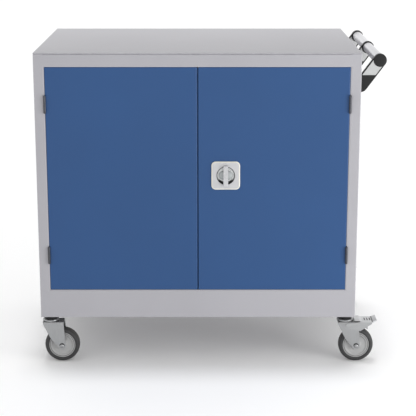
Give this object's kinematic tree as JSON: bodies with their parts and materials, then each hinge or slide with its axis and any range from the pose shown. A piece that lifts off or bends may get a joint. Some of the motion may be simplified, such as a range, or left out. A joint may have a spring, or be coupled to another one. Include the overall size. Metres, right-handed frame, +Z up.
{
  "type": "mobile cupboard",
  "caption": "Low steel storage cupboard on braked swivel castors, with flush hinged doors, a rotary rod lock, an inner shelf and a tubular push handle along one side.",
  "frame": {"origin": "middle of the whole part's footprint, handle and lock grip included, on the floor", "axes": "+X to the right across the front, towards the push handle; +Y from the doors to the back; +Z up"},
  "size_m": [0.969, 0.6144, 0.9],
  "materials": {
    "grey_coat": "light grey powder coat, fine orange peel",
    "blue_coat": "mid blue powder coat, fine orange peel",
    "zinc": "bright zinc plate",
    "rim_plastic": "moulded grey plastic",
    "tyre_rubber": "dark grey rubber",
    "black_plastic": "satin black moulding",
    "aluminium": "satin anodised",
    "lock_plastic": "light grey moulding"
  },
  "bodies": {
    "carcass": {"side_left": "grey_coat", "side_right": "grey_coat", "top_panel": "grey_coat", "top_rail": "grey_coat", "base_tray": "grey_coat", "back_panel": "grey_coat", "shelf": "grey_coat", "shelf_clip_front_left": "zinc", "shelf_clip_front_right": "zinc", "shelf_clip_rear_left": "zinc", "shelf_clip_rear_right": "zinc", "hinge_frame_top_left": "zinc", "hinge_frame_bottom_left": "zinc", "hinge_frame_top_right": "zinc", "hinge_frame_bottom_right": "zinc", "door_magnet": "black_plastic", "handle_tube": "aluminium", "handle_bracket_front": "black_plastic", "handle_bracket_middle": "black_plastic", "handle_bracket_rear": "black_plastic", "handle_inlay_front": "aluminium", "handle_inlay_middle": "aluminium", "handle_inlay_rear": "aluminium", "handle_cap_front": "black_plastic", "handle_cap_rear": "black_plastic", "castor_head_front_left": "zinc", "castor_head_front_right": "zinc", "castor_head_rear_left": "zinc", "castor_head_rear_right": "zinc"},
    "left_door": {"door_left": "blue_coat", "hinge_door_top_left": "zinc", "hinge_door_bottom_left": "zinc"},
    "right_door": {"door_right": "blue_coat", "hinge_door_top_right": "zinc", "hinge_door_bottom_right": "zinc", "lock_plate": "lock_plastic", "lock_case": "zinc"},
    "grip": {"lock_grip": "lock_plastic", "lock_spindle": "zinc"},
    "key": {"key_cylinder": "zinc"},
    "rod_top": {"lock_rod_top": "zinc"},
    "rod_bottom": {"lock_rod_bottom": "zinc"},
    "fork_front_left": {"castor_fork_front_left": "zinc", "castor_axle_front_left": "zinc"},
    "fork_front_right": {"castor_fork_front_right": "zinc", "castor_axle_front_right": "zinc"},
    "fork_rear_left": {"castor_fork_rear_left": "zinc", "castor_axle_rear_left": "zinc"},
    "fork_rear_right": {"castor_fork_rear_right": "zinc", "castor_axle_rear_right": "zinc"},
    "wheel_front_left": {"wheel_rim_front_left": "rim_plastic", "wheel_tyre_front_left": "tyre_rubber"},
    "wheel_front_right": {"wheel_rim_front_right": "rim_plastic", "wheel_tyre_front_right": "tyre_rubber"},
    "wheel_rear_left": {"wheel_rim_rear_left": "rim_plastic", "wheel_tyre_rear_left": "tyre_rubber"},
    "wheel_rear_right": {"wheel_rim_rear_right": "rim_plastic", "wheel_tyre_rear_right": "tyre_rubber"},
    "brake_front_right": {"brake_lever_front_right": "zinc"},
    "brake_rear_right": {"brake_lever_rear_right": "zinc"}
  },
  "joints": [
    {"name": "door_left_hinge", "type": "hinge", "parent": "carcass", "child": "left_door", "pos_m": [-0.4553, -0.29665, 0.542], "axis": [0, 0, -1], "range_deg": [0, 110]},
    {"name": "door_right_hinge", "type": "hinge", "parent": "carcass", "child": "right_door", "pos_m": [0.3863, -0.29665, 0.542], "axis": [0, 0, 1], "range_deg": [0, 110]},
    {"name": "grip_turn", "type": "hinge", "parent": "right_door", "child": "grip", "pos_m": [0.0439, -0.29715, 0.5575], "axis": [0, -1, 0], "range_deg": [0, 90]},
    {"name": "key_turn", "type": "hinge", "parent": "grip", "child": "key", "pos_m": [0.0439, -0.29715, 0.5575], "axis": [0, -1, 0], "range_deg": [0, 90]},
    {"name": "rod_top_slide", "type": "slide", "parent": "right_door", "child": "rod_top", "axis": [0, 0, 1], "range_m": [0, 0.01178]},
    {"name": "rod_bottom_slide", "type": "slide", "parent": "right_door", "child": "rod_bottom", "axis": [0, 0, -1], "range_m": [0, 0.01178]},
    {"name": "swivel_front_left", "type": "hinge", "parent": "carcass", "child": "fork_front_left", "pos_m": [-0.46, -0.26085, 0.122], "axis": [0, 0, 1], "continuous": true},
    {"name": "swivel_front_right", "type": "hinge", "parent": "carcass", "child": "fork_front_right", "pos_m": [0.391, -0.26085, 0.122], "axis": [0, 0, 1], "continuous": true},
    {"name": "swivel_rear_left", "type": "hinge", "parent": "carcass", "child": "fork_rear_left", "pos_m": [-0.46, 0.27515, 0.122], "axis": [0, 0, 1], "continuous": true},
    {"name": "swivel_rear_right", "type": "hinge", "parent": "carcass", "child": "fork_rear_right", "pos_m": [0.391, 0.27515, 0.122], "axis": [0, 0, 1], "continuous": true},
    {"name": "wheel_spin_front_left", "type": "hinge", "parent": "fork_front_left", "child": "wheel_front_left", "pos_m": [-0.428, -0.26085, 0.05], "axis": [0, 1, 0], "continuous": true},
    {"name": "wheel_spin_front_right", "type": "hinge", "parent": "fork_front_right", "child": "wheel_front_right", "pos_m": [0.423, -0.26085, 0.05], "axis": [0, 1, 0], "continuous": true},
    {"name": "wheel_spin_rear_left", "type": "hinge", "parent": "fork_rear_left", "child": "wheel_rear_left", "pos_m": [-0.428, 0.27515, 0.05], "axis": [0, 1, 0], "continuous": true},
    {"name": "wheel_spin_rear_right", "type": "hinge", "parent": "fork_rear_right", "child": "wheel_rear_right", "pos_m": [0.423, 0.27515, 0.05], "axis": [0, 1, 0], "continuous": true},
    {"name": "brake_front_right_press", "type": "hinge", "parent": "fork_front_right", "child": "brake_front_right", "pos_m": [0.399, -0.26085, 0.1115], "axis": [0, 1, 0], "range_deg": [0, 6]},
    {"name": "brake_rear_right_press", "type": "hinge", "parent": "fork_rear_right", "child": "brake_rear_right", "pos_m": [0.399, 0.27515, 0.1115], "axis": [0, 1, 0], "range_deg": [0, 6]}
  ],
  "couplings": [
    {"joint": "grip_turn", "follows": "rod_top_slide", "rad_per_m": 133.33},
    {"joint": "rod_bottom_slide", "follows": "rod_top_slide", "ratio": 1}
  ]
}
